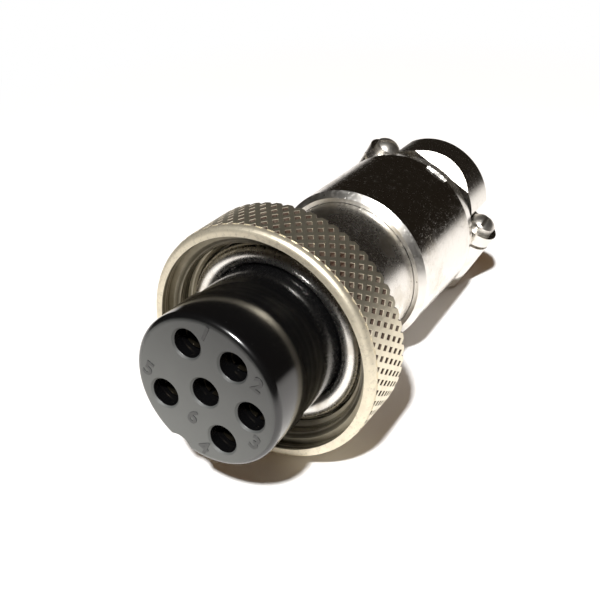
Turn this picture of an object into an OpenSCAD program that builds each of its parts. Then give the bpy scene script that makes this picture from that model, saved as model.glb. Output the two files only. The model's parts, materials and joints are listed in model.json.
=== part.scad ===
// Screw-ring microphone plug with six socket contacts, lying on a table.
// Lengths are in millimetres. Stations run along the plug axis from the contact face
// (0) to the cable end. Before the plug is laid down its axis is Z, the clamp saddle is
// on the +Y side and the clamp screws stand at plus and minus X.

/* [Insert] */
// Radius of the front insulator
insert_r = 6; // [5.6:0.05:6.4]
// Thickness of the front insulator
nose_len = 4; // [3:0.1:5]
// Rounding of the edge of the contact face
face_fillet = 0.55; // [0.3:0.05:0.8]
// How much smaller the rear insulator is than the front one, on the radius
insert_step = 0.2; // [0.1:0.01:0.3]
// Least width of the shoulder that seats the rear insulator
seat_shoulder = 0.7; // [0.5:0.01:0.9]
// Width of the keyway
keyway_w = 2.3; // [1.8:0.1:2.6]
// Depth of the keyway
keyway_depth = 0.8; // [0.5:0.05:0.9]
// Turn of the insert in the sleeve, in degrees
insert_turn = -4; // [-15:1:15]

/* [Contacts] */
// Wall between the outer solder cups and the edge of the insulator's tail
cup_margin = 0.53; // [0.4:0.01:0.7]
// Bore radius of a socket
socket_bore_r = 0.78; // [0.6:0.01:0.85]
// Wall of a socket
socket_wall = 0.22; // [0.15:0.01:0.25]
// Space round a socket in the front insulator
hole_gap = 0.1; // [0.05:0.01:0.15]
// How far a socket lies behind the contact face
socket_recess = 1.2; // [0.8:0.1:1.8]
// Depth of a socket's bore
socket_depth = 6; // [5:0.1:7]
// Width of the slots between the tines
tine_slot = 0.3; // [0.2:0.05:0.35]
// How far the collar stands out of a socket
flange_over = 0.45; // [0.3:0.01:0.48]
// Thickness of the collar
flange_t = 0.65; // [0.4:0.05:1]
// How much slimmer the solder cup is than the socket, on the radius
cup_step = 0.2; // [0.1:0.01:0.25]
// Wall of the solder cup
cup_wall = 0.22; // [0.15:0.01:0.3]
// Length of the solder cup behind the insulator
cup_len = 3.5; // [2.5:0.1:4.5]

/* [Front sleeve] */
// Station of the sleeve's rounded rim
sleeve_start = 8.4; // [7.8:0.05:9]
// Length of the rim and flange
flange_len = 2.2; // [1.9:0.05:2.6]
// Thickness of the flange behind the insert's seat
seat_floor = 0.5; // [0.3:0.05:0.8]
// Thickness of the web that carries the insert's shoulder
web_t = 1.8; // [1.4:0.1:2.2]
// Least width of the web behind the collar's bore, where the retaining ring rests
ring_rest = 0.36; // [0.25:0.01:0.5]
// Wall of the collar
collar_wall = 0.7; // [0.5:0.01:0.9]

/* [Retaining ring] */
// Thickness of the ring
ring_t = 0.65; // [0.4:0.05:0.8]
// Depth of the ring's groove
groove_depth = 0.3; // [0.2:0.01:0.35]
// Gap between the ring's ends, in degrees
ring_gap_angle = 50; // [30:5:90]

/* [Coupling nut] */
// How far the nut's front lip stands ahead of the sleeve's rim
nut_lead = 1.75; // [1.5:0.05:2]
// Radius of the nut over the knurl
nut_r = 9.65; // [8.6:0.05:10.8]
// Wall of the nut from the bottom of the thread to the top of the knurl
nut_wall = 1.65; // [1.4:0.01:2]
// Space between the bottom of the thread and the sleeve's rim
thread_space = 0.6; // [0.5:0.01:0.8]
// Depth of the knurl
knurl_depth = 0.26; // [0.2:0.01:0.4]
// Number of knurl pits in a row round the nut
knurl_count = 62; // [46:2:72]
// Number of half pits along the nut
knurl_rows = 6; // [4:2:8]
// Share of the knurl left flat between its pits
knurl_flat = 0.45; // [0.15:0.05:0.5]
// Plain lip in front of the knurl
lip_len = 0.6; // [0.4:0.05:0.8]
// Rounding of the lip's front edge
lip_round = 0.4; // [0.3:0.05:0.6]
// Bevel behind the knurl
rear_bevel = 0.4; // [0.3:0.05:0.6]
// How much wider the nut's mouth is than the thread, on the radius
mouth_step = 0.85; // [0.5:0.05:0.95]
// Length of the nut's mouth
mouth_len = 0.9; // [0.6:0.05:1.2]
// Lead-in of the thread
lead_in = 0.4; // [0.2:0.05:0.5]
// Thickness of the nut's rear web
nut_web = 1.15; // [0.9:0.05:1.4]
// Space between the flange and the nut's web
nut_float = 0.15; // [0.1:0.01:0.3]

/* [Backshell] */
// Station of the barrel's front face
barrel_start = 20.9; // [19:0.1:23]
// Radius of the barrel
barrel_r = 7.1; // [6.3:0.05:8]
// Wall of the barrel over the sleeve
barrel_wall = 0.86; // [0.75:0.01:1.1]
// Wall of the barrel behind the sleeve
rear_wall = 1.2; // [1:0.05:1.4]
// Length of the barrel
barrel_len = 11.6; // [10:0.1:13]
// How far the sleeve reaches into the barrel
engage_len = 5.1; // [4.6:0.1:6]
// Bevel on the barrel's front edge
barrel_lead = 0.5; // [0.3:0.05:0.6]
// Length of the taper at the barrel's rear end
barrel_bevel = 1.5; // [1:0.05:2]
// How far the taper draws the barrel in
bevel_drop = 0.35; // [0.2:0.05:0.5]
// Width of the nick left by the casting gate
gate_w = 2.2; // [1.6:0.1:3]
// Depth of the nick
gate_depth = 0.3; // [0.2:0.05:0.4]
// Distance of the nick's bottom from the barrel's rear end
gate_set = 1.4; // [1.2:0.05:1.8]

/* [Cable clamp] */
// How much smaller the lower jaw is than the barrel, on the radius
jaw_step = 0.8; // [0.7:0.05:1.2]
// Wall of the half shell in front of the jaw
shell_t = 0.8; // [0.6:0.05:1]
// Width of the lower jaw
jaw_w = 3.8; // [3:0.1:4.2]
// Radius of the cable groove
cable_r = 3.6; // [3.2:0.05:3.8]
// Height of the lower jaw's flat top above the plug axis
parting_y = 1.9; // [1.5:0.05:2.2]
// Opening between saddle and lower jaw
clamp_gap = 0.3; // [0.25:0.01:0.5]
// Thickness of the saddle's ears
ear_t = 1.1; // [0.9:0.05:1.4]
// Width of the saddle's crown
crown_w = 3.8; // [3:0.1:4.2]
// Slope on the crown's front edge
crown_slope = 1; // [0.6:0.05:1.2]
// Thickness of the crown over the cable groove
crown_t = 3.4; // [2.8:0.05:3.8]
// Radius of the crown's arched top
arch_r = 5.4; // [5:0.05:6.5]
// Thickness of the crown beside the cable groove
crown_side = 0.95; // [0.8:0.01:1.2]
// Space between the crown and a screw's head
head_room = 0.1; // [0.05:0.01:0.4]
// Distance of the clamp screws from the barrel's rear end
clamp_set = 2.5; // [2.2:0.1:4]
// Wall of the bosses and ears round the screws
boss_wall = 0.85; // [0.7:0.01:1]
// How far the bosses reach below the plug axis
boss_drop = 3.5; // [3.1:0.05:3.9]

/* [Screws] */
// Shank radius of the screws
shank_r = 0.8; // [0.7:0.01:0.9]
// How far a clamp screw's head stands out past its shank
head_over = 0.35; // [0.3:0.01:0.6]
// Head height of the clamp screws
head_h = 1.1; // [0.9:0.05:1.4]
// Radius of the clamp screws' domed heads
dome_r = 1.5; // [1.3:0.05:2.2]
// Width of the driver slots
slot_w = 0.35; // [0.25:0.05:0.5]
// Depth of the driver slots
slot_d = 0.4; // [0.3:0.05:0.5]
// How far the clamp screws' tips stay inside their bosses
tip_set = 0.7; // [0.5:0.1:1.2]
// Distance of the lock screw from the barrel's front face
lock_set = 2.8; // [2.4:0.1:3.2]
// How far the lock screw's head stands out past its shank
lock_over = 0.7; // [0.5:0.01:0.8]
// Head height of the lock screw
lock_head_h = 1.55; // [1.35:0.05:1.75]
// Depth of the flat seat under the lock screw's head
spot_depth = 0.2; // [0.15:0.01:0.3]
// Turn of the left clamp screw's slot, in degrees
left_slot_turn = 35; // [0:5:180]
// Turn of the right clamp screw's slot, in degrees
right_slot_turn = 95; // [0:5:180]

/* [Rest] */
// Roll at which the plug lies on its nut, its lock screw and one clamp boss, in degrees
rest_roll = 28.45; // [20:0.05:40]

/* [Fits] */
// Running space round the collar in the nut's web
nut_run = 0.08; // [0.05:0.01:0.1]
// Running space round the shanks in the saddle's ears
ear_run = 0.08; // [0.05:0.01:0.1]
// Space round the shanks in the tapped holes
tap_gap = 0.05; // [0.03:0.01:0.08]
// Space round the lock screw's shank in the barrel
shank_gap = 0.1; // [0.08:0.01:0.15]
// Space between pieces that are fixed together
seat_gap = 0.04; // [0.02:0.01:0.05]
// Space under the heads of the screws
head_gap = 0.02; // [0.01:0.01:0.05]
// Small bevel on sharp edges
edge = 0.15; // [0.1:0.01:0.2]

/* [Hidden] */
$fn = 96;
// How far a cut runs past the face that it opens
past = 1;
// Facets of the lip's rounding
lip_steps = 6;
insert_seat = sleeve_start + flange_len - seat_floor;
bore_r = barrel_r - barrel_wall;
collar_r = bore_r - seat_gap;
collar_bore_r = collar_r - collar_wall;
rear_r = insert_r - insert_step;
tail_r = min(rear_r - seat_shoulder, collar_bore_r - ring_rest - seat_gap);
seat_bore_r = rear_r + seat_gap;
web_r = tail_r + seat_gap;
socket_r = socket_bore_r + socket_wall;
cup_r = socket_r - cup_step;
pin_circle_r = tail_r - cup_r - cup_margin;
contact_angles = concat([for (i = [0 : 3]) 45 + 60 * i], [315]);
keyway_r = (pow(keyway_w / 2, 2) + pow(keyway_depth, 2)) / (2 * keyway_depth);
keyway_x = insert_r - keyway_depth + keyway_r;
groove_start = insert_seat + web_t;
groove_end = groove_start + ring_t + 2 * seat_gap;
groove_r = tail_r - groove_depth;
tail_end = groove_end + ring_t;
cup_end = tail_end + cup_len;
thread_r = nut_r - nut_wall;
sleeve_r = thread_r - thread_space;
rim_t = sleeve_r - seat_bore_r;
rim_r = min(rim_t, flange_len) / 2;
sleeve_end = barrel_start + engage_len;
nut_start = sleeve_start - nut_lead;
nut_end = sleeve_start + flange_len + nut_float + nut_web;
valley_r = nut_r - knurl_depth;
core_r = valley_r - edge / 3;
lip_r = nut_r - edge / 3;
knurl_z0 = nut_start + lip_len;
knurl_z1 = nut_end - rear_bevel;
mouth_r = thread_r + mouth_step;
mouth_end = nut_start + mouth_len;
knurl_inner = (mouth_r + core_r) / 2;
barrel_bore_r = barrel_r - rear_wall;
barrel_end = barrel_start + barrel_len;
bevel_start = barrel_end - barrel_bevel;
jaw_r = barrel_r - jaw_step;
bevel_r = barrel_r - bevel_drop;
boss_r = shank_r + boss_wall;
head_r = shank_r + head_over;
crown_r = cable_r + crown_side;
crown_top = clamp_gap + cable_r + crown_t;
screw_x = crown_r + head_room + head_r;
screw_z = barrel_end + clamp_set;
jaw_start = screw_z - jaw_w / 2;
jaw_end = screw_z + jaw_w / 2;
ear_bottom = parting_y + clamp_gap;
ear_top = ear_bottom + ear_t;
lock_z = barrel_start + lock_set;
lock_r = shank_r + lock_over;
lock_rim = lock_r - edge;
spot_y = barrel_r - spot_depth;
lock_reach = spot_y + lock_head_h;

// Rest pose: tilted so that the nut's rear edge and the lock screw's head meet the table, and
// raised so that nothing reaches below it
function hyp(a, b) = sqrt(a * a + b * b);
function slope_of(t) =
    (nut_r - lock_reach * cos(rest_roll) - lock_rim * hyp(sin(rest_roll), t)) / (lock_z - knurl_z1);
function depth_at(z, reach) = z * sin(rest_tilt) + reach * cos(rest_tilt);
rest_slope = slope_of(slope_of(slope_of(0)));
rest_tilt = atan(rest_slope);
rest_side = hyp(sin(rest_roll), rest_slope);
rest_height = max(
    depth_at(knurl_z1, nut_r),
    depth_at(lock_z, lock_reach * cos(rest_roll) + lock_rim * rest_side),
    depth_at(bevel_start, barrel_r),
    depth_at(screw_z, screw_x * sin(rest_roll) + boss_drop * cos(rest_roll) + boss_r * rest_side)
);
rest_front = face_fillet * (cos(rest_tilt) - 1) - (insert_r - face_fillet) * sin(rest_tilt);
rest_rear = screw_z * cos(rest_tilt) + max(
    boss_r * hyp(cos(rest_tilt), sin(rest_roll) * sin(rest_tilt))
        + (screw_x * sin(rest_roll) + ear_top * cos(rest_roll)) * sin(rest_tilt),
    crown_w / 2 * cos(rest_tilt) + (arch_r + (crown_top - arch_r) * cos(rest_roll)) * sin(rest_tilt)
);
rest_shift = [0, -(rest_front + rest_rear) / 2, rest_height];

// Places a piece built along Z as the plug lies
module lay() {
    translate(rest_shift)
        rotate([-rest_tilt, 0, 0])
            rotate([90, 0, 180])
                rotate([0, 0, rest_roll])
                    children();
}

// Stands a piece built along Z so that it points to the saddle side
module upward() {
    rotate([-90, 0, 0])
        children();
}

// Draws a side view, with the saddle side to the right and the cable end up, out to a width
module across(w) {
    translate([-w / 2, 0, 0]) rotate([90, 0, 90]) linear_extrude(w)
        children();
}

// Stands a piece built along Z so that it points away from the saddle
module downward() {
    rotate([90, 0, 0])
        children();
}

// Cylinder between two stations
module rod(r, z0, z1) {
    translate([0, 0, z0])
        cylinder(r = r, h = z1 - z0);
}

// Driver slot across a head whose top is at the given height
module driver_slot(top, head, turn) {
    rotate([0, 0, turn])
        translate([-head - past, -slot_w / 2, top - slot_d])
            cube([2 * (head + past), slot_w, slot_d + past]);
}

// Repeats a shape at every contact
module at_contacts() {
    for (a = contact_angles)
        rotate([0, 0, a + insert_turn])
            translate([pin_circle_r, 0, 0])
                children();
    children();
}

// Repeats a shape at both clamp screws
module at_screws(y) {
    for (side = [-1, 1])
        translate([side * screw_x, y, screw_z])
            upward()
                children();
}

module keyway(z0, z1) {
    rotate([0, 0, insert_turn - 90])
        translate([keyway_x, 0, 0])
            rod(keyway_r, z0, z1);
}

module front_insulator() {
    color("dimgray") lay() difference() {
        rotate_extrude() {
            square([insert_r - face_fillet, face_fillet]);
            translate([insert_r - face_fillet, face_fillet])
                circle(r = face_fillet);
            polygon([
                [0, face_fillet],
                [insert_r, face_fillet],
                [insert_r, nose_len - edge],
                [insert_r - edge, nose_len],
                [0, nose_len]
            ]);
        }
        at_contacts() {
            rod(socket_r + hole_gap, -past, nose_len + past);
            translate([0, 0, -past])
                cylinder(r1 = socket_r + hole_gap + edge + past, r2 = socket_r + hole_gap, h = past + edge);
        }
        keyway(-past, nose_len + past);
    }
}

module rear_insulator() {
    color("dimgray") lay() difference() {
        rotate_extrude() polygon([
            [0, nose_len],
            [rear_r, nose_len],
            [rear_r, insert_seat],
            [tail_r, insert_seat],
            [tail_r, groove_start],
            [groove_r, groove_start],
            [groove_r, groove_end],
            [tail_r, groove_end],
            [tail_r, tail_end],
            [0, tail_end]
        ]);
        at_contacts() {
            rod(socket_r + flange_over + seat_gap, nose_len - past, nose_len + flange_t + 2 * seat_gap);
            rod(socket_r + seat_gap, nose_len - past, insert_seat);
            rod(cup_r + seat_gap, nose_len - past, tail_end + past);
        }
        keyway(nose_len - past, sleeve_start);
    }
}

// One socket contact on its own axis
module contact() {
    tine_len = nose_len - socket_recess - flange_t;
    cup_floor = tail_end + cup_r;
    difference() {
        rotate_extrude() polygon([
            [0, socket_recess],
            [socket_r - socket_wall / 2, socket_recess],
            [socket_r, socket_recess + socket_wall / 2],
            [socket_r, nose_len + seat_gap],
            [socket_r + flange_over, nose_len + seat_gap],
            [socket_r + flange_over, nose_len + seat_gap + flange_t],
            [socket_r, nose_len + seat_gap + flange_t],
            [socket_r, insert_seat - seat_gap],
            [cup_r, insert_seat - seat_gap],
            [cup_r, cup_end],
            [0, cup_end]
        ]);
        rod(socket_bore_r, socket_recess - past, socket_recess + socket_depth);
        for (turn = [0, 90])
            rotate([0, 0, turn])
                translate([-socket_r - past, -tine_slot / 2, socket_recess - past])
                    cube([2 * (socket_r + past), tine_slot, tine_len + past]);
        rod(cup_r - cup_wall, cup_floor, cup_end + past);
        translate([cup_wall / 2, -cup_r - past, cup_floor + cup_wall])
            cube([cup_r + past, 2 * (cup_r + past), cup_len]);
    }
}

module contact_at(i) {
    color("gold") lay()
        rotate([0, 0, i < 5 ? contact_angles[i] + insert_turn : insert_turn])
            translate([i < 5 ? pin_circle_r : 0, 0, 0])
                contact();
}

module contact_1() contact_at(0);
module contact_2() contact_at(1);
module contact_3() contact_at(2);
module contact_4() contact_at(3);
module contact_5() contact_at(4);
module contact_6() contact_at(5);

module front_sleeve() {
    color("silver") lay() difference() {
        rotate_extrude() {
            for (r = [seat_bore_r + rim_r, sleeve_r - rim_r])
                translate([r, sleeve_start + rim_r])
                    circle(r = rim_r);
            if (rim_t > 2 * rim_r)
                translate([seat_bore_r + rim_r, sleeve_start])
                    square([rim_t - 2 * rim_r, rim_r]);
            translate([seat_bore_r, sleeve_start + rim_r])
                square([rim_t, flange_len - rim_r]);
            translate([web_r, insert_seat])
                square([sleeve_r - web_r, seat_floor]);
            translate([web_r, insert_seat])
                square([collar_r - web_r, web_t]);
            translate([collar_bore_r, insert_seat + web_t / 2])
                square([collar_wall, sleeve_end - insert_seat - web_t / 2]);
        }
        translate([0, past - collar_bore_r, lock_z]) downward()
            cylinder(r = shank_r + tap_gap, h = collar_wall + 2 * past);
    }
}

module retaining_ring() {
    color("gray") lay() rotate_extrude(angle = 360 - ring_gap_angle)
        translate([groove_r + seat_gap, groove_start + seat_gap])
            square([collar_bore_r - groove_r - 2 * seat_gap, ring_t]);
}

// Knurled band: flat crossed ridges round pointed pits on a half-pit grid, closed by two flat ends
module knurl_band() {
    cols = 2 * knurl_count;
    rows = knurl_rows;
    step = 180 / knurl_count;
    rise = (knurl_z1 - knurl_z0) / rows;
    half = 1 - knurl_flat;
    per_row = 5 * knurl_count;
    ring0 = per_row * (rows + 1) + knurl_count * (rows + 1);
    function at(r, a, b) = [r * cos(a * step), r * sin(a * step), knurl_z0 + b * rise];
    function wrap(a) = (a + 2 * cols) % cols;
    function pit(a, b, k) = b * per_row + 5 * floor(wrap(a) / 2) + k;
    function cross(a, b) = per_row * (rows + 1) + b * knurl_count + floor(wrap(a) / 2);
    function ring(a, b) = ring0 + (b == 0 ? 0 : cols) + wrap(a);
    pits = [for (b = [0 : rows]) for (i = [0 : knurl_count - 1])
        let (a = 2 * i + b % 2) each concat(
            [for (d = [[-1, 0], [0, -1], [1, 0], [0, 1]])
                at(nut_r, a + d[0] * half, min(rows, max(0, b + d[1] * half)))],
            [at(valley_r, a, b)])];
    crossings = [for (b = [0 : rows]) for (i = [0 : knurl_count - 1])
        at(nut_r, 2 * i + (b + 1) % 2, b)];
    rings = [for (b = [0, rows]) for (a = [0 : cols - 1]) at(knurl_inner, a, b)];
    cells = [for (b = [0 : rows]) for (i = [0 : knurl_count - 1]) [2 * i + b % 2, b]];
    upper = [for (c = cells) let (a = c[0], b = c[1]) if (b < rows) each [
        [pit(a, b, 0), pit(a, b, 3), pit(a, b, 4)],
        [pit(a, b, 3), pit(a, b, 2), pit(a, b, 4)],
        [cross(a + 1, b), pit(a, b, 2), pit(a, b, 3)],
        [cross(a + 1, b), pit(a, b, 3), cross(a, b + 1)],
        [cross(a - 1, b), pit(a, b, 3), pit(a, b, 0)],
        [cross(a - 1, b), cross(a, b + 1), pit(a, b, 3)]
    ]];
    lower = [for (c = cells) let (a = c[0], b = c[1]) if (b > 0) each [
        [pit(a, b, 2), pit(a, b, 1), pit(a, b, 4)],
        [pit(a, b, 1), pit(a, b, 0), pit(a, b, 4)],
        [cross(a + 1, b), pit(a, b, 1), pit(a, b, 2)],
        [cross(a + 1, b), cross(a, b - 1), pit(a, b, 1)],
        [cross(a - 1, b), pit(a, b, 0), pit(a, b, 1)],
        [cross(a - 1, b), pit(a, b, 1), cross(a, b - 1)]
    ]];
    front = [for (i = [0 : knurl_count - 1]) let (a = 2 * i) each [
        [cross(a - 1, 0), pit(a, 0, 0), ring(a, 0), ring(a - 1, 0)],
        [pit(a, 0, 0), pit(a, 0, 4), ring(a, 0)],
        [pit(a, 0, 4), pit(a, 0, 2), ring(a, 0)],
        [pit(a, 0, 2), cross(a + 1, 0), ring(a + 1, 0), ring(a, 0)]
    ]];
    back = [for (i = [0 : knurl_count - 1]) let (a = 2 * i + rows % 2) each [
        [cross(a - 1, rows), ring(a - 1, rows), ring(a, rows), pit(a, rows, 0)],
        [pit(a, rows, 0), ring(a, rows), pit(a, rows, 4)],
        [pit(a, rows, 4), ring(a, rows), pit(a, rows, 2)],
        [pit(a, rows, 2), ring(a, rows), ring(a + 1, rows), cross(a + 1, rows)]
    ]];
    inner = [for (a = [0 : cols - 1])
        [ring(a, 0), ring(a + 1, 0), ring(a + 1, rows), ring(a, rows)]];
    polyhedron(points = concat(pits, crossings, rings),
        faces = concat(upper, lower, front, back, inner), convexity = 6);
}

module coupling_nut() {
    color("lightgray") lay() union() {
        rotate_extrude() polygon([
            [mouth_r, nut_start],
            for (k = [0 : lip_steps]) [
                lip_r - lip_round * (1 - sin(90 * k / lip_steps)),
                nut_start + lip_round * (1 - cos(90 * k / lip_steps))
            ],
            [lip_r, knurl_z0 + edge / 3],
            [core_r, knurl_z0 + edge / 3],
            [core_r, knurl_z1],
            [core_r - rear_bevel, nut_end],
            [collar_r + nut_run, nut_end],
            [collar_r + nut_run, nut_end - nut_web],
            [thread_r, nut_end - nut_web],
            [thread_r, mouth_end + lead_in],
            [thread_r + lead_in, mouth_end],
            [mouth_r, mouth_end]
        ]);
        knurl_band();
    }
}

// Lower half shell and jaw, up to the parting plane
module lower_jaw() {
    intersection() {
        rotate_extrude() polygon([
            [jaw_r - shell_t, bevel_start],
            [jaw_r, bevel_start],
            [jaw_r, jaw_end],
            [0, jaw_end],
            [0, jaw_start],
            [jaw_r - shell_t, jaw_start]
        ]);
        translate([-barrel_r, parting_y - 2 * barrel_r, barrel_start])
            cube([2 * barrel_r, 2 * barrel_r, jaw_end - barrel_start + past]);
    }
}

module backshell() {
    color("silver") lay() difference() {
        union() {
            rotate_extrude() polygon([
                [bore_r, barrel_start],
                [barrel_r - barrel_lead, barrel_start],
                [barrel_r, barrel_start + barrel_lead],
                [barrel_r, bevel_start],
                [bevel_r, barrel_end],
                [barrel_bore_r, barrel_end],
                [barrel_bore_r, sleeve_end + seat_gap],
                [bore_r, sleeve_end + seat_gap]
            ]);
            lower_jaw();
            at_screws(-boss_drop)
                cylinder(r = boss_r, h = boss_drop + parting_y);
        }
        rod(cable_r, jaw_start - past, jaw_end + past);
        translate([-cable_r, 0, jaw_start - past])
            cube([2 * cable_r, parting_y + past, jaw_w + 2 * past]);
        at_screws(-boss_drop - past)
            cylinder(r = shank_r + tap_gap, h = boss_drop + parting_y + 2 * past);
        translate([0, past - bore_r, lock_z]) downward()
            cylinder(r = shank_r + shank_gap, h = barrel_wall + 2 * past);
        translate([0, -spot_y, lock_z]) downward()
            cylinder(r = lock_r + edge, h = spot_depth + past);
        across(gate_w) translate([barrel_r - gate_depth, barrel_end - gate_set]) polygon([
            [0, 0],
            [past, past],
            [past, -3 * past]
        ]);
    }
}

module lock_screw() {
    color("gray") lay() translate([0, 0, lock_z]) downward() difference() {
        rotate_extrude() polygon([
            [0, collar_bore_r + edge],
            [shank_r, collar_bore_r + edge],
            [shank_r, spot_y + head_gap],
            [lock_r, spot_y + head_gap],
            [lock_r, lock_reach - edge],
            [lock_rim, lock_reach],
            [0, lock_reach]
        ]);
        driver_slot(lock_reach, lock_r, 0);
    }
}

module clamp_saddle() {
    color("silver") lay() translate([0, 0, screw_z]) difference() {
        union() {
            translate([0, 0, -crown_w / 2]) linear_extrude(crown_w) intersection() {
                translate([0, crown_top - arch_r]) circle(r = arch_r);
                translate([-crown_r, ear_bottom]) square([2 * crown_r, crown_top]);
            }
            translate([0, ear_bottom, 0]) upward() linear_extrude(ear_t) {
                translate([-screw_x, -boss_r]) square([2 * screw_x, 2 * boss_r]);
                translate([-screw_x, 0]) circle(r = boss_r);
                translate([screw_x, 0]) circle(r = boss_r);
            }
        }
        translate([0, clamp_gap, -crown_w / 2 - past])
            cylinder(r = cable_r, h = crown_w + 2 * past);
        across(2 * crown_r) translate([crown_top - crown_slope, -crown_w / 2]) polygon([
            [-past, -past],
            [crown_slope + past, crown_slope + past],
            [crown_slope + past, -past]
        ]);
        for (side = [-1, 1])
            translate([side * screw_x, ear_bottom - past, 0]) upward()
                cylinder(r = shank_r + ear_run, h = ear_t + 2 * past);
    }
}

// Clamp screw on its own axis, the seat of its head at height 0
module clamp_screw(turn) {
    head_top = head_gap + head_h;
    tip = tip_set - boss_drop - ear_top;
    difference() {
        union() {
            rotate_extrude() intersection() {
                translate([0, head_gap]) square([head_r, head_h]);
                translate([0, head_top - dome_r]) circle(r = dome_r);
            }
            rotate_extrude() polygon([
                [0, tip],
                [shank_r - edge, tip],
                [shank_r, tip + edge],
                [shank_r, head_gap + edge],
                [0, head_gap + edge]
            ]);
        }
        driver_slot(head_top, head_r, turn);
    }
}

module clamp_screw_left() {
    color("gainsboro") lay() translate([screw_x, ear_top, screw_z]) upward()
        clamp_screw(left_slot_turn);
}

module clamp_screw_right() {
    color("gainsboro") lay() translate([-screw_x, ear_top, screw_z]) upward()
        clamp_screw(right_slot_turn);
}

front_insulator();
rear_insulator();
contact_1();
contact_2();
contact_3();
contact_4();
contact_5();
contact_6();
front_sleeve();
retaining_ring();
coupling_nut();
backshell();
lock_screw();
clamp_saddle();
clamp_screw_left();
clamp_screw_right();
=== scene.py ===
"""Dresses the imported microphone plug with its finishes, threads and pin numbers, and lights it."""

import json
import logging
import math
from dataclasses import dataclass
from enum import Enum, IntEnum
from typing import Any, Sequence, TypeAlias

import bmesh
import bpy
from mathutils import Matrix, Vector


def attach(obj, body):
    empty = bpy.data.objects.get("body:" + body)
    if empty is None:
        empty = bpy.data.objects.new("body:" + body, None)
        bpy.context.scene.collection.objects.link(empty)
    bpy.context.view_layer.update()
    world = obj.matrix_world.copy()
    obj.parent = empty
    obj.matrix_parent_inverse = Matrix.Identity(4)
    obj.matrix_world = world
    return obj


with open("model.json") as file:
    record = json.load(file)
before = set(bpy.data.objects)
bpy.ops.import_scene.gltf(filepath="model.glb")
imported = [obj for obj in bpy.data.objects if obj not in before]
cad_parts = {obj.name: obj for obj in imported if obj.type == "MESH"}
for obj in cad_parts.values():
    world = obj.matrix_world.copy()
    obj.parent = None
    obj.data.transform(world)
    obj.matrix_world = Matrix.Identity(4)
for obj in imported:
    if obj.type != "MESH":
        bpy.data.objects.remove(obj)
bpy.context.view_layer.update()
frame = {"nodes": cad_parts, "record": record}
LOG = logging.getLogger("microphone_plug")
MM = 0.001

Rgb: TypeAlias = tuple[float, float, float]
Point: TypeAlias = tuple[float, float, float]
Span: TypeAlias = tuple[float, float]
Operand: TypeAlias = "Sock | float"

WHITE: Rgb = (1.0, 1.0, 1.0)
NOISE_MEAN = 0.5


class Body(Enum):
    """The rigid bodies that added pieces ride on."""

    SHELL = "shell"
    NUT = "nut"
    LEFT_SCREW = "screw_left"
    RIGHT_SCREW = "screw_right"


class Slot(Enum):
    """Names of the record's material slots."""

    INSULATOR = "insulator"
    KNURL = "knurl"
    SCREW = "screw"


class ColourMix(IntEnum):
    """Places of a Mix node's colour sockets, which share their names with its other sockets."""

    SHARE = 0
    FIRST = 6
    SECOND = 7
    RESULT = 2


@dataclass(frozen=True)
class PlugAxis:
    """The plug's own frame in millimetres: X to the left screw, Y to the saddle, Z from face to cable."""

    origin: Vector
    side: Vector
    up: Vector
    axis: Vector

    @classmethod
    def from_record(cls, record: dict[str, Any]) -> "PlugAxis":
        """Read the frame from the record's joints and the mount on the contact face.

        Args:
            record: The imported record.

        Returns:
            The frame of the plug as it lies.
        """
        axes = {j["name"]: Vector(j["axis"]).normalized() for j in record["behaviour"]["joints"]}
        face = next(m for m in record["mounts"] if m["name"] == "contact_face")
        axis, up = axes["nut_spin"], axes["saddle_slide"]
        return cls(Vector(face["pos_m"]), up.cross(axis).normalized(), up, axis)

    def rotation(self) -> Matrix:
        """Return the turn from the plug's frame to the row frame."""
        return Matrix((self.side, self.up, self.axis)).transposed()

    def matrix(self) -> Matrix:
        """Return the map from plug millimetres to row-frame metres."""
        return Matrix.Translation(self.origin) @ (self.rotation() * MM).to_4x4()

    def point(self, x: float, y: float, z: float) -> Vector:
        """Return the row-frame place of a point in the plug's frame."""
        return self.matrix() @ Vector((x, y, z))


PLUG = PlugAxis.from_record(frame["record"])


class Sock:
    """A shader value that takes part in Python arithmetic by adding Math nodes."""

    def __init__(self, graph: "Graph", socket: bpy.types.NodeSocket | None) -> None:
        """Wrap one output socket of a graph."""
        self.graph = graph
        self.socket = socket

    def _math(self, operation: str, *values: Operand) -> "Sock":
        """Return the value of one Math node with these operands."""
        return self.graph.node("ShaderNodeMath", {"operation": operation}, dict(enumerate(values)))

    def __add__(self, other: Operand) -> "Sock":
        """Add."""
        return self._math("ADD", self, other)

    __radd__ = __add__

    def __sub__(self, other: Operand) -> "Sock":
        """Subtract."""
        return self._math("SUBTRACT", self, other)

    def __rsub__(self, other: Operand) -> "Sock":
        """Subtract from a number."""
        return self._math("SUBTRACT", other, self)

    def __mul__(self, other: Operand) -> "Sock":
        """Multiply."""
        return self._math("MULTIPLY", self, other)

    __rmul__ = __mul__

    def __gt__(self, other: Operand) -> "Sock":
        """Return 1 where this value is the larger."""
        return self._math("GREATER_THAN", self, other)

    def __lt__(self, other: Operand) -> "Sock":
        """Return 1 where this value is the smaller."""
        return self._math("LESS_THAN", self, other)

    def largest(self, other: Operand) -> "Sock":
        """Return the larger of two values."""
        return self._math("MAXIMUM", self, other)

    def across(self, other: "Sock") -> "Sock":
        """Return the length of a vector with these two parts."""
        return self._math("SQRT", self * self + other * other)

    def ramp(self, low: float, high: float) -> "Sock":
        """Rise smoothly over a range.

        Args:
            low: Where the result is still 0.
            high: Where the result has reached 1.

        Returns:
            The smooth step.
        """
        return self.graph.node(
            "ShaderNodeMapRange",
            {"interpolation_type": "SMOOTHSTEP"},
            {"Value": self, "From Min": low, "From Max": high},
        )


@dataclass(frozen=True)
class Noise:
    """How a noise is made: cells to the millimetre, octaves and the weight of the finer octaves."""

    cells: float
    octaves: float
    weight: float


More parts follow.
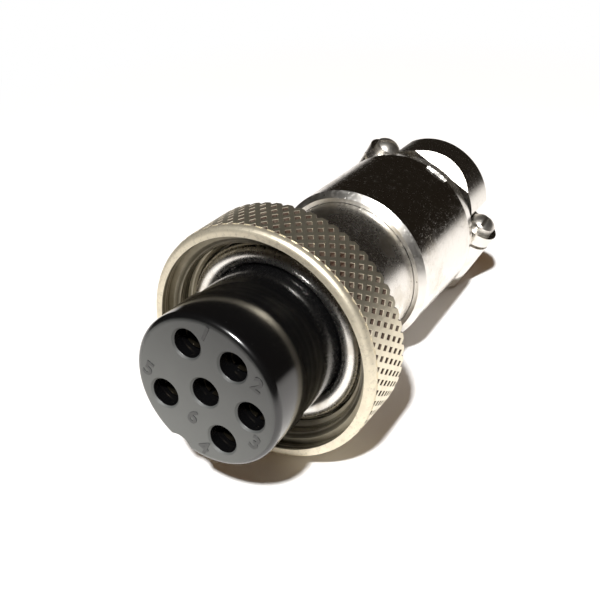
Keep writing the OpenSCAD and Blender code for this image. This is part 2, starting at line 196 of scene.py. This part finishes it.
@dataclass(frozen=True)
class Dots:
    """How dots are strewn: cells to the millimetre, the share of cells with a dot, its radius in cells.

    The core is the share of the radius that is full, before the dot fades out.
    """

    cells: float
    share: float
    size: float
    core: float = 0.3


class Graph:
    """The node tree of one material or of the world."""

    def __init__(self, tree: bpy.types.NodeTree) -> None:
        """Empty a tree and take it over."""
        self.tree = tree
        tree.nodes.clear()

    def node(
        self,
        kind: str,
        settings: dict[str, Any] | None = None,
        inputs: dict[str | int, Any] | None = None,
        out: str | int = 0,
    ) -> Sock:
        """Add any node.

        Args:
            kind: The node's type.
            settings: Values of the node's own options, set first.
            inputs: Values or links by socket name or number.
            out: Name or number of the output that is returned.

        Returns:
            The chosen output.
        """
        made = self.tree.nodes.new(kind)
        for name, value in (settings or {}).items():
            setattr(made, name, value)
        for name, value in (inputs or {}).items():
            if isinstance(value, Sock):
                self.tree.links.new(value.socket, made.inputs[name])
            else:
                made.inputs[name].default_value = value
        return Sock(self, made.outputs[out] if len(made.outputs) else None)

    def outputs(self, value: Sock, *names: str) -> tuple[Sock, ...]:
        """Return other outputs of the node that a value comes from."""
        return tuple(Sock(self, value.socket.node.outputs[name]) for name in names)

    def plug_mm(self) -> Sock:
        """Find the surface point in the plug's frame.

        Returns:
            The point, in millimetres.
        """
        # The node scales the point, then turns it and then moves it.
        back = PLUG.rotation().transposed()
        return self.node(
            "ShaderNodeMapping",
            {"vector_type": "POINT"},
            {
                "Vector": self.node("ShaderNodeTexCoord", out="Object"),
                "Location": -(back @ PLUG.origin) / MM,
                "Rotation": back.to_euler("XYZ"),
                "Scale": (1 / MM,) * 3,
            },
        )

    def parts(self, vector: Sock) -> tuple[Sock, ...]:
        """Return the three parts of a vector."""
        return self.outputs(self.node("ShaderNodeSeparateXYZ", None, {"Vector": vector}), "X", "Y", "Z")

    def rays(self) -> tuple[Sock, ...]:
        """Return the marks of camera rays, glossy rays and transmission rays."""
        path = self.node("ShaderNodeLightPath")
        return self.outputs(path, "Is Camera Ray", "Is Glossy Ray", "Is Transmission Ray")

    def noise(self, at: Sock, kind: Noise) -> Sock:
        """Add a noise.

        Args:
            at: Where it is read, in millimetres.
            kind: How it is made.

        Returns:
            The noise, about 0.5.
        """
        return self.node(
            "ShaderNodeTexNoise",
            {"noise_dimensions": "3D"},
            {"Vector": at, "Scale": kind.cells, "Detail": kind.octaves, "Roughness": kind.weight},
        )

    def rings(self, along: Sock, kind: Noise) -> Sock:
        """Add turning marks, a noise that changes along one direction only.

        Args:
            along: Distance along the turning axis, in millimetres.
            kind: How the noise is made.

        Returns:
            The marks, about 0.5.
        """
        return self.node(
            "ShaderNodeTexNoise",
            {"noise_dimensions": "1D"},
            {"W": along, "Scale": kind.cells, "Detail": kind.octaves, "Roughness": kind.weight},
        )

    def specks(self, at: Sock, kind: Dots) -> Sock:
        """Add small round dots strewn at random.

        Args:
            at: Where they are read, in millimetres.
            kind: How they are strewn.

        Returns:
            1 in the middle of a dot, 0 away from dots.
        """
        cells = self.node("ShaderNodeTexVoronoi", {"feature": "F1"}, {"Vector": at, "Scale": kind.cells})
        (colour,) = self.outputs(cells, "Color")
        chance = self.node("ShaderNodeSeparateColor", None, {"Color": colour})
        return (1 - cells.ramp(kind.core * kind.size, kind.size)) * (chance < kind.share)

    def blend(self, share: Sock, first: Rgb | Sock, second: Rgb | Sock) -> Sock:
        """Mix two colours.

        Args:
            share: 0 for the first, 1 for the second.
            first: Colour or link.
            second: Colour or link.

        Returns:
            The mixed colour.
        """
        def whole(colour: Rgb | Sock) -> Any:
            """Add full alpha to a plain colour."""
            return colour if isinstance(colour, Sock) else (*colour, 1.0)

        return self.node(
            "ShaderNodeMix",
            {"data_type": "RGBA"},
            {ColourMix.SHARE: share, ColourMix.FIRST: whole(first), ColourMix.SECOND: whole(second)},
            out=ColourMix.RESULT,
        )

    def bump(self, height: Sock, depth_mm: float) -> Sock:
        """Bend the normal by a height field.

        Args:
            height: The height, where 1 stands for the depth.
            depth_mm: The depth in millimetres.

        Returns:
            The bent normal.
        """
        return self.node(
            "ShaderNodeBump",
            None,
            {"Strength": 1.0, "Distance": depth_mm * MM, "Height": height},
        )

    def surface(self, **inputs: Any) -> None:
        """Add a Principled shader and the material's output.

        Args:
            inputs: Values or links by socket name, with underscores for spaces.
        """
        named = {name.replace("_", " "): value for name, value in inputs.items()}
        shader = self.node("ShaderNodeBsdfPrincipled", None, named)
        self.node("ShaderNodeOutputMaterial", None, {"Surface": shader})

    def matt(self, colour: Rgb) -> Sock:
        """Return a plain matt shader."""
        return self.node("ShaderNodeBsdfDiffuse", None, {"Color": (*colour, 1.0)})

    def glow(self, colour: Rgb) -> Sock:
        """Return a shader that shows its colour in any light."""
        return self.node("ShaderNodeEmission", None, {"Color": (*colour, 1.0), "Strength": 1.0})

    def either(self, share: Sock, first: Sock, second: Sock) -> Sock:
        """Return a mix of two shaders, the first at 0 and the second at 1."""
        return self.node("ShaderNodeMixShader", None, {0: share, 1: first, 2: second})


def fresh_graph(name: str) -> tuple[bpy.types.Material, Graph]:
    """Make an empty material.

    Args:
        name: The material's name.

    Returns:
        The material and its graph.
    """
    material = bpy.data.materials.new(name)
    material.use_nodes = True
    return material, Graph(material.node_tree)


@dataclass(frozen=True)
class BrightNickel:
    """Bright nickel plate on a turned or cast piece: near a mirror, with pits and one duller stretch.

    The duller stretch is given by its stations along the plug, and depths are in millimetres.
    """

    name: str
    dull_from: float
    dull_to: float
    dull: float
    base: Rgb = (0.84, 0.815, 0.77)
    stain: Rgb = (0.62, 0.57, 0.48)
    stain_span: Span = (0.45, 0.8)
    pinhole: Rgb = (0.10, 0.075, 0.05)
    pinholes: Dots = Dots(1.7, 0.035, 0.14)
    polish: float = 0.13
    haze: float = 0.10
    haze_span: Span = (0.35, 0.9)
    cloud: Noise = Noise(0.35, 4.0, 0.6)
    mottle: float = 0.05
    mottle_span: Span = (0.48, 0.7)
    patch: Noise = Noise(2.4, 4.0, 0.7)
    grain: Noise = Noise(8.0, 4.0, 0.7)
    grain_depth: float = 0.0025
    pit_share: float = 0.22
    pit_cells: float = 3.1
    pit_size: float = 0.16
    pit_depth: float = 0.008
    pit_dulling: float = 0.14
    fine_rate: float = 1.4
    fine_cells: float = 9.0
    fine_size: float = 0.24
    fine_height: float = 0.5

    def make(self) -> bpy.types.Material:
        """Make the finish.

        Returns:
            The material.
        """
        material, g = fresh_graph(self.name)
        at = g.plug_mm()
        _, _, z = g.parts(at)
        dulled = (z > self.dull_from) * (z < self.dull_to)
        grain = g.noise(at, self.grain)
        cloud = g.noise(at, self.cloud)
        patches = g.noise(at, self.patch)
        pits = g.specks(at, Dots(self.pit_cells, self.pit_share, self.pit_size))
        fine = g.specks(at, Dots(self.fine_cells, self.fine_rate * self.pit_share, self.fine_size))
        height = grain * (self.grain_depth / self.pit_depth) - pits - self.fine_height * fine
        plate = g.blend(cloud.ramp(*self.stain_span), self.base, self.stain)
        g.surface(
            Base_Color=g.blend(g.specks(at, self.pinholes), plate, self.pinhole),
            Metallic=1.0,
            Roughness=(
                self.polish
                + self.haze * cloud.ramp(*self.haze_span)
                + self.mottle * patches.ramp(*self.mottle_span)
                + self.pit_dulling * pits.largest(fine)
                + self.dull * dulled
            ),
            Normal=g.bump(height, self.pit_depth),
        )
        return material


@dataclass(frozen=True)
class SatinNickel:
    """Satin nickel on the knurled nut, with brown grime and painted shade in the pits, a worn lip and a
    tarnished bore.

    Radii, stations along the plug and the bump's depth are in millimetres.
    """

    name: str
    top_r: float = 9.648
    pit_r: float = 9.605
    bore_r: float = 8.86
    knurl_from: float = 7.3
    knurl_to: float = 11.5
    web_z: float = 11.3
    base: Rgb = (0.86, 0.79, 0.63)
    tarnish: Rgb = (0.17, 0.15, 0.105)
    cloud: Noise = Noise(0.6, 3.0, 0.6)
    cloud_stain: float = 0.2
    cloud_span: Span = (0.4, 0.8)
    # Dark brown of the knurl's pits: partly grime, partly painted shade.
    grime: Rgb = (0.045, 0.022, 0.011)
    grime_share: float = 0.8
    grime_cloud: float = 0.35
    grime_cover: float = 0.9
    grime_dulling: float = 0.25
    satin: float = 0.37
    grain: Noise = Noise(14.0, 3.0, 0.6)
    grain_dulling: float = 0.14
    bump_depth: float = 0.004
    lip_satin: float = 0.40
    lip_frost: float = 0.2
    lip_wear: float = 0.34
    wear: Noise = Noise(3.2, 4.0, 0.75)
    wear_span: Span = (0.46, 0.72)
    wear_height: float = 3.0
    bore_satin: float = 0.3
    bore_stain: float = 0.72
    bore_cloud: float = 0.3
    mark: Noise = Noise(5.0, 2.0, 0.7)
    mark_stain: float = 1.3
    mark_height: float = 7.0

    def make(self) -> bpy.types.Material:
        """Make the finish.

        Returns:
            The material.
        """
        material, g = fresh_graph(self.name)
        at = g.plug_mm()
        x, y, z = g.parts(at)
        radius = x.across(y)
        grain = g.noise(at, self.grain)
        cloud = g.noise(at, self.cloud)
        patches = g.noise(at, self.wear)
        marks = g.rings(z, self.mark)
        bore = (radius < self.bore_r) * (z < self.web_z)
        lip = (z < self.knurl_from) * (1 - bore)
        knurl = (z > self.knurl_from) * (z < self.knurl_to) * (1 - bore)
        # The pits are painted dark brown from their edge down to their floor: partly grime, partly
        # painted shade in the recesses.
        pit = knurl * (1 - radius.ramp(self.pit_r, self.top_r))
        grime = pit * (self.grime_share + self.grime_cloud * cloud)
        streaks = self.mark_stain * (marks - NOISE_MEAN)
        stain = bore * (self.bore_stain + self.bore_cloud * cloud + streaks)
        clouded = self.cloud_stain * cloud.ramp(*self.cloud_span)
        worn = self.lip_wear * lip * patches.ramp(*self.wear_span)
        plate = g.blend(stain.largest(clouded).largest(worn), self.base, self.tarnish)
        height = grain + self.mark_height * bore * marks + self.wear_height * lip * patches
        g.surface(
            Base_Color=g.blend(grime, plate, self.grime),
            Metallic=1 - (self.grime_cover * grime).largest(self.lip_frost * lip),
            Roughness=(
                self.satin
                + (self.bore_satin - self.satin) * bore
                + (self.lip_satin - self.satin) * lip
                + self.grain_dulling * grain
                + self.grime_dulling * grime
            ),
            Normal=g.bump(height, self.bump_depth),
        )
        return material


@dataclass(frozen=True)
class BlackPhenolic:
    """Glossy black moulding with faint flow marks, a contact face painted grey for rubbing and painted
    sheen, and matt hole rims.

    Radii, stations along the plug and the bump's depth are in millimetres.
    """

    name: str
    base: Rgb = (0.0035, 0.0035, 0.0038)
    # Grey of the contact face: partly rubbing, partly painted sheen.
    rubbed: Rgb = (0.101, 0.108, 0.106)
    gloss: float = 0.11
    specular: float = 0.8
    edge_gloss: float = 0.20
    edge_z: float = 0.55
    edge_start: float = 0.5
    face_gloss: float = 0.42
    face_z: float = 0.10
    flat_z: float = 0.004
    rim_r: float = 5.3
    rim_z: float = 0.15
    rim_start: float = 0.7
    rim_gloss: float = 0.62
    rub_share: float = 0.60
    rub_slope: float = 0.075
    rub_cloud: float = 0.2
    cloud: Noise = Noise(0.5, 4.0, 0.6)
    cloud_dulling: float = 0.04
    flow: Noise = Noise(7.0, 3.0, 0.6)
    flow_depth: float = 0.0012
    dust: Dots = Dots(2.2, 0.12, 0.08)
    dust_tone: float = 0.5
    dust_dulling: float = 0.2

    def make(self) -> bpy.types.Material:
        """Make the finish.

        Returns:
            The material.
        """
        material, g = fresh_graph(self.name)
        at = g.plug_mm()
        x, y, z = g.parts(at)
        radius = x.across(y)
        rim = (radius < self.rim_r) * (1 - z.ramp(self.rim_start * self.rim_z, self.rim_z))
        face = (1 - z.ramp(0.0, self.face_z)).largest(rim)
        edge = (radius > self.rim_r) * (1 - z.ramp(self.edge_start * self.edge_z, self.edge_z))
        cloud = g.noise(at, self.cloud)
        dust = g.specks(at, self.dust)
        # The contact face is painted grey, partly rubbing and partly painted sheen, and lighter away from
        # the saddle's side.
        rub_and_sheen = face * (self.rub_share + self.rub_cloud * (cloud - NOISE_MEAN) - self.rub_slope * y)
        face_dulling = (self.face_gloss - self.gloss) * face
        edge_dulling = (self.edge_gloss - self.gloss) * edge
        rim_dulling = (self.rim_gloss - self.gloss) * rim * (z > self.flat_z)
        g.surface(
            Base_Color=g.blend(rub_and_sheen.largest(self.dust_tone * dust), self.base, self.rubbed),
            Roughness=(
                self.gloss
                + face_dulling.largest(edge_dulling).largest(rim_dulling)
                + self.cloud_dulling * (cloud - NOISE_MEAN)
                + self.dust_dulling * dust
            ),
            Specular_IOR_Level=self.specular,
            Normal=g.bump(g.noise(at, self.flow), self.flow_depth),
        )
        return material


@dataclass(frozen=True)
class TurnedMetal:
    """Small turned metal pieces: contacts, screws and the spring ring. The depth is in millimetres."""

    name: str
    base: Rgb
    tarnish: Rgb
    roughness: float
    cloud: Noise = Noise(1.4, 4.0, 0.6)
    tarnish_span: Span = (0.4, 0.75)
    haze: float = 0.12
    haze_span: Span = (0.3, 0.8)
    grain: Noise = Noise(12.0, 2.0, 0.5)
    grain_height: float = 0.4
    pits: Dots = Dots(4.0, 0.1, 0.2)
    pit_dulling: float = 0.2
    pit_depth: float = 0.006

    def make(self) -> bpy.types.Material:
        """Make the finish.

        Returns:
            The material.
        """
        material, g = fresh_graph(self.name)
        at = g.plug_mm()
        cloud = g.noise(at, self.cloud)
        grain = g.noise(at, self.grain)
        pits = g.specks(at, self.pits)
        hazed = self.haze * cloud.ramp(*self.haze_span)
        g.surface(
            Base_Color=g.blend(cloud.ramp(*self.tarnish_span), self.base, self.tarnish),
            Metallic=1.0,
            Roughness=self.roughness + hazed + self.pit_dulling * pits,
            Normal=g.bump(self.grain_height * grain - pits, self.pit_depth),
        )
        return material


@dataclass(frozen=True)
class FloorPaper:
    """White table paper that keeps the shadow, with a dark room beyond it in reflections.

    Spans are distances from the plug, in metres.
    """

    name: str
    room: Rgb
    paper: Rgb = (0.78, 0.74, 0.64)
    seen: Rgb = WHITE
    white_span: Span = (0.045, 0.085)
    room_span: Span = (0.035, 0.110)

    def make(self) -> bpy.types.Material:
        """Make the finish.

        Returns:
            The material.
        """
        material, g = fresh_graph(self.name)
        camera, glossy, clear = g.rays()
        x, y, _ = g.parts(g.node("ShaderNodeTexCoord", out="Object"))
        radius = x.across(y)
        # The paper is seen white, while the light that it throws back on the plug is warm.
        shown = camera.largest(glossy).largest(clear)
        paper = g.either(shown, g.matt(self.paper), g.matt(self.seen))
        white = g.either(camera * radius.ramp(*self.white_span), paper, g.glow(self.seen))
        whole = g.either(glossy * radius.ramp(*self.room_span), white, g.glow(self.room))
        g.node("ShaderNodeOutputMaterial", None, {"Surface": whole})
        return material


def add_object(name: str, data: bpy.types.ID) -> bpy.types.Object:
    """Put a new object into the scene.

    Args:
        name: Its name.
        data: Its mesh, lamp or camera.

    Returns:
        The object.
    """
    thing = bpy.data.objects.new(name, data)
    bpy.context.scene.collection.objects.link(thing)
    return thing


def dress(thing: bpy.types.Object, material: bpy.types.Material) -> None:
    """Give a node or an added piece one material."""
    thing.data.materials.clear()
    thing.data.materials.append(material)


def dress_nodes(names: Sequence[str], material: bpy.types.Material) -> None:
    """Give several nodes one material.

    Args:
        names: The nodes.
        material: Their finish.
    """
    for name in names:
        dress(frame["nodes"][name], material)
        LOG.info("%s wears %s", name, material.name)


def add_piece(thing: bpy.types.Object, body: Body, slot: Slot, material: bpy.types.Material) -> None:
    """Dress an added piece and hang it on its body.

    Args:
        thing: The piece, in place.
        body: The body that carries it.
        slot: Not used.
        material: Its finish.
    """
    dress(thing, material)
    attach(thing, body.value)
    LOG.info("%s rides on %s with %d faces", thing.name, body.value, len(thing.data.polygons))


@dataclass(frozen=True)
class ThreadRidge:
    """A right-handed helical thread ridge about the Z axis, in millimetres.

    The crest and root are widths in pitches, steps are sections to the turn, sink is how far the foot
    goes into its wall, and a ridge rises from nothing at each end over one part in run_out of a turn.
    """

    name: str
    radius: float
    height: float
    pitch: float
    start: float
    end: float
    inward: bool
    steps: int
    crest: float = 0.16
    root: float = 0.86
    sink: float = 0.03
    run_out: float = 6.0
    fewest_sections: int = 8
    smooth_deg: float = 35.0

    def turns(self) -> float:
        """Return how many turns the ridge makes."""
        return (self.end - self.start - self.pitch) / self.pitch

    def section(self, share: float) -> list[Point]:
        """Work out one section of the ridge.

        Args:
            share: How far along the ridge it lies, from 0 to 1.

        Returns:
            The section's four corners.
        """
        angle = share * self.turns() * math.tau
        way = -1.0 if self.inward else 1.0
        rise = min(1.0, self.run_out * self.turns() * min(share, 1.0 - share))
        middle = self.start + self.pitch / 2 + share * self.turns() * self.pitch
        top = self.radius + way * self.height * rise
        foot = self.radius - way * self.sink
        half_root = self.root / 2 * self.pitch
        half_crest = self.crest / 2 * self.pitch
        corners = (
            (foot, middle - half_root),
            (top, middle - half_crest),
            (top, middle + half_crest),
            (foot, middle + half_root),
        )
        return [(r * math.cos(angle), r * math.sin(angle), z) for r, z in corners]

    def build(self, place: Matrix) -> bpy.types.Object:
        """Make the ridge.

        Args:
            place: Map from the ridge's millimetres to row-frame metres.

        Returns:
            The ridge.
        """
        count = max(self.fewest_sections, int(self.turns() * self.steps))
        mesh = bmesh.new()
        rows = [[mesh.verts.new(p) for p in self.section(i / count)] for i in range(count + 1)]
        for a, b in zip(rows, rows[1:]):
            for k, corner in enumerate(a):
                n = (k + 1) % len(a)
                mesh.faces.new((corner, a[n], b[n], b[k]))
        mesh.faces.new(rows[0])
        mesh.faces.new(list(reversed(rows[-1])))
        bmesh.ops.recalc_face_normals(mesh, faces=mesh.faces)
        data = bpy.data.meshes.new(self.name)
        mesh.to_mesh(data)
        mesh.free()
        data.transform(place)
        data.shade_smooth()
        data.set_sharp_from_angle(angle=math.radians(self.smooth_deg))
        return add_object(self.name, data)


@dataclass
class Insert:
    """The two insulators, the socket contacts and the moulded pin numbers.

    Lengths are in millimetres, and angles run from the left screw's side towards the saddle's.
    """

    turn_deg: float = -4.0
    pin_angles: tuple[float, ...] = (45.0, 105.0, 165.0, 225.0, 315.0)
    number_r: float = 4.85
    number_lag_deg: float = 24.0
    centre_number_r: float = 2.75
    centre_number_deg: float = -90.0
    number_h: float = 1.2
    font_to_height: float = 1.4
    number_rise: float = 0.03
    number_weight: float = 0.035
    number_edge: float = 0.01
    curve_steps: int = 4
    black: BlackPhenolic = BlackPhenolic("black_phenolic")
    number_black: BlackPhenolic = BlackPhenolic(
        "number_black", face_gloss=0.34, rub_share=0.18, rub_slope=0.03
    )
    # The socket contacts are painted near black, far darker than their brass, as painted shade deep in
    # the holes.
    contact: TurnedMetal = TurnedMetal(
        "shade_darkened_brass", base=(0.05, 0.041, 0.028), tarnish=(0.022, 0.018, 0.012), roughness=0.5
    )

    def number(self, text: str, radius: float, angle_deg: float) -> bpy.types.Object:
        """Mould one raised number on the contact face, with its top to the saddle's side.

        Args:
            text: The number.
            radius: Distance of its middle from the plug axis.
            angle_deg: Its place round the axis, from the insert's own turn.

        Returns:
            The number as a mesh.
        """
        curve = bpy.data.curves.new("number_" + text, "FONT")
        curve.body = text
        curve.size = self.number_h * self.font_to_height
        curve.align_x = "CENTER"
        curve.align_y = "CENTER"
        curve.extrude = self.number_rise
        curve.offset = self.number_weight
        curve.bevel_depth = self.number_edge
        curve.resolution_u = self.curve_steps
        loose = bpy.data.objects.new("loose_number_" + text, curve)
        data = bpy.data.meshes.new_from_object(loose)
        bpy.data.objects.remove(loose)
        # The face looks along -Z, so a line of text runs along -X.
        turn = math.radians(self.turn_deg)
        along = Vector((-math.cos(turn), -math.sin(turn), 0))
        upright = Vector((-math.sin(turn), math.cos(turn), 0))
        front = Vector((0, 0, -1))
        angle = math.radians(angle_deg + self.turn_deg)
        place = Matrix((along, upright, front)).transposed().to_4x4()
        place.translation = radius * Vector((math.cos(angle), math.sin(angle), 0))
        data.transform(PLUG.matrix() @ place)
        return add_object("pin_number_" + text, data)

    def build(self) -> list[bpy.types.Object]:
        """Mould the pin numbers, with the last one by the hole in the centre.

        Returns:
            The numbers in order.
        """
        made = []
        for pin, angle in enumerate(self.pin_angles, start=1):
            made.append(self.number(str(pin), self.number_r, angle + self.number_lag_deg))
        centre_pin = str(len(self.pin_angles) + 1)
        made.append(self.number(centre_pin, self.centre_number_r, self.centre_number_deg))
        return made

    def dress(self, numbers: Sequence[bpy.types.Object]) -> None:
        """Give the insert its finishes.

        Args:
            numbers: The pin numbers.
        """
        dress_nodes(("front_insulator", "rear_insulator"), self.black.make())
        dress_nodes([f"contact_{pin}" for pin, _ in enumerate(numbers, start=1)], self.contact.make())
        number_black = self.number_black.make()
        for thing in numbers:
            add_piece(thing, Body.SHELL, Slot.INSULATOR, number_black)


@dataclass
class FrontSleeve:
    """The sleeve with its rounded rim, and the ring that holds the insert."""

    plate: BrightNickel = BrightNickel(
        "sleeve_nickel", dull_from=8.2, dull_to=21.0, dull=0.11, pit_share=0.12
    )
    spring: TurnedMetal = TurnedMetal(
        "spring_steel", base=(0.34, 0.33, 0.32), tarnish=(0.22, 0.19, 0.16), roughness=0.3
    )

    def dress(self) -> None:
        """Give the sleeve and the ring their finishes."""
        dress_nodes(("front_sleeve",), self.plate.make())
        dress_nodes(("retaining_ring",), self.spring.make())


@dataclass
class CouplingNut:
    """The knurled nut and the thread inside it, with lengths in millimetres."""

    thread_r: float = 8.0
    thread_h: float = 0.42
    pitch: float = 1.0
    thread_start: float = 7.85
    thread_end: float = 10.7
    thread_steps: int = 160
    plate: SatinNickel = SatinNickel("satin_nickel")

    def build(self) -> bpy.types.Object:
        """Cut the thread.

        Returns:
            The thread ridge.
        """
        ridge = ThreadRidge(
            "nut_thread",
            radius=self.thread_r,
            height=self.thread_h,
            pitch=self.pitch,
            start=self.thread_start,
            end=self.thread_end,
            inward=True,
            steps=self.thread_steps,
        )
        return ridge.build(PLUG.matrix())

    def dress(self, thread: bpy.types.Object) -> None:
        """Give the nut and its thread their finish.

        Args:
            thread: The thread ridge.
        """
        plate = self.plate.make()
        dress_nodes(("coupling_nut",), plate)
        add_piece(thread, Body.NUT, Slot.KNURL, plate)


@dataclass
class Backshell:
    """The cast barrel with its lower jaw, and the lock screw on its underside."""

    plate: BrightNickel = BrightNickel(
        "cast_nickel",
        dull_from=20.8,
        dull_to=21.45,
        dull=0.16,
        mottle=0.14,
        grain_depth=0.004,
        pit_share=0.3,
        pit_depth=0.010,
    )
    screw: TurnedMetal = TurnedMetal(
        "plated_screw", base=(0.74, 0.71, 0.66), tarnish=(0.52, 0.47, 0.40), roughness=0.14
    )

    def dress(self) -> None:
        """Give the barrel and the lock screw their finishes."""
        dress_nodes(("backshell",), self.plate.make())
        dress_nodes(("lock_screw",), self.screw.make())


@dataclass
class CableClamp:
    """The clamp saddle and its two screws, with lengths in millimetres."""

    screw_x: float = 5.8
    screw_z: float = 35.0
    shank_r: float = 0.8
    thread_h: float = 0.045
    pitch: float = 0.35
    thread_start: float = -2.6
    thread_end: float = 3.25
    thread_steps: int = 36
    plate: BrightNickel = BrightNickel(
        "saddle_nickel", dull_from=33.0, dull_to=37.0, dull=0.06, pit_share=0.2
    )
    screw: TurnedMetal = TurnedMetal(
        "clamp_screw_plate", base=(0.80, 0.77, 0.72), tarnish=(0.56, 0.51, 0.44), roughness=0.34
    )

    def thread(self, name: str, side: float) -> bpy.types.Object:
        """Cut the thread of one screw.

        Args:
            name: The piece's name.
            side: 1 for the left screw, -1 for the right one.

        Returns:
            The thread ridge.
        """
        ridge = ThreadRidge(
            name,
            radius=self.shank_r,
            height=self.thread_h,
            pitch=self.pitch,
            start=self.thread_start,
            end=self.thread_end,
            inward=False,
            steps=self.thread_steps,
        )
        spot = Matrix.Translation((side * self.screw_x, 0, self.screw_z))
        upright = Matrix.Rotation(-math.pi / 2, 4, "X")
        return ridge.build(PLUG.matrix() @ (spot @ upright))

    def build(self) -> dict[Body, bpy.types.Object]:
        """Cut the threads of both screws.

        Returns:
            The thread ridges by the screw that carries them.
        """
        return {
            Body.LEFT_SCREW: self.thread("left_screw_thread", 1.0),
            Body.RIGHT_SCREW: self.thread("right_screw_thread", -1.0),
        }

    def dress(self, threads: dict[Body, bpy.types.Object]) -> None:
        """Give the saddle and the screws their finishes.

        Args:
            threads: The thread ridges by screw.
        """
        dress_nodes(("clamp_saddle",), self.plate.make())
        plate = self.screw.make()
        dress_nodes(("clamp_screw_left", "clamp_screw_right"), plate)
        for body, thread in threads.items():
            add_piece(thread, body, Slot.SCREW, plate)


@dataclass
class Studio:
    """Table paper, lamp, room and camera.

    Lengths are in metres, angles in degrees and the lamp's power in watts. The camera's places are in
    millimetres of the plug's frame, and its lens and sensor in millimetres.
    """

    floor_half: float = 1.5
    key_azimuth: float = 18.0
    key_elevation: float = 58.0
    key_distance: float = 0.45
    key_size: float = 0.03
    key_power: float = 2.9
    key_colour: Rgb = (1.0, 0.995, 0.985)
    room_fill: Rgb = (0.092, 0.047, 0.014)
    room_gloss: Rgb = (0.013, 0.010, 0.007)
    surround: Rgb = WHITE
    camera_at: Point = (-10.02, 47.05, -40.48)
    camera_aim: Point = (-0.754, 6.420, 6.500)
    camera_roll: float = -3.976
    lens: float = 54.44
    sensor: float = 36.0
    clip_near: float = 0.005
    clip_far: float = 20.0

    def floor(self) -> None:
        """Lay the table paper."""
        work = bmesh.new()
        bmesh.ops.create_grid(work, x_segments=1, y_segments=1, size=self.floor_half)
        data = bpy.data.meshes.new("table_paper")
        work.to_mesh(data)
        work.free()
        paper = add_object("table_paper", data)
        dress(paper, FloorPaper("table_paper", room=self.room_gloss).make())

    def lamp(self) -> None:
        """Hang the key lamp, aimed at the plug."""
        azimuth, elevation = math.radians(self.key_azimuth), math.radians(self.key_elevation)
        level = math.cos(elevation)
        way = Vector((math.sin(azimuth) * level, -math.cos(azimuth) * level, math.sin(elevation)))
        data = bpy.data.lights.new("key_lamp", "AREA")
        data.shape = "DISK"
        data.size = self.key_size
        data.energy = self.key_power
        data.color = self.key_colour
        lamp = add_object("key_lamp", data)
        lamp.location = way * self.key_distance
        lamp.rotation_mode = "QUATERNION"
        lamp.rotation_quaternion = (-way).to_track_quat("-Z", "Y")

    def room(self) -> None:
        """Darken the room round the table, white only where it is seen directly."""
        world = bpy.data.worlds.new("room")
        world.use_nodes = True
        bpy.context.scene.world = world
        g = Graph(world.node_tree)
        camera, glossy, clear = g.rays()
        dark = g.blend(glossy, self.room_fill, self.room_gloss)
        tone = g.blend(camera.largest(clear), dark, self.surround)
        sky = g.node("ShaderNodeBackground", None, {"Color": tone, "Strength": 1.0})
        g.node("ShaderNodeOutputWorld", None, {"Surface": sky})

    def camera(self) -> None:
        """Set the camera where the view is taken from."""
        data = bpy.data.cameras.new("camera")
        data.lens = self.lens
        data.sensor_width = self.sensor
        data.clip_start = self.clip_near
        data.clip_end = self.clip_far
        eye, aim = PLUG.point(*self.camera_at), PLUG.point(*self.camera_aim)
        level = (aim - eye).to_track_quat("-Z", "Y").to_matrix()
        roll = Matrix.Rotation(math.radians(self.camera_roll), 3, "Z")
        camera = add_object("camera", data)
        camera.matrix_world = Matrix.Translation(eye) @ (level @ roll).to_4x4()
        bpy.context.scene.camera = camera

    def build(self) -> None:
        """Set up the whole studio."""
        self.floor()
        self.lamp()
        self.room()
        self.camera()
        bpy.context.scene.view_settings.view_transform = "Standard"


def main() -> None:
    """Build and dress every sub-assembly, then the studio."""
    logging.basicConfig(level=logging.INFO, format="%(message)s")
    insert = Insert()
    insert.dress(insert.build())
    FrontSleeve().dress()
    nut = CouplingNut()
    nut.dress(nut.build())
    Backshell().dress()
    clamp = CableClamp()
    clamp.dress(clamp.build())
    Studio().build()


if __name__ == "__main__":
    main()
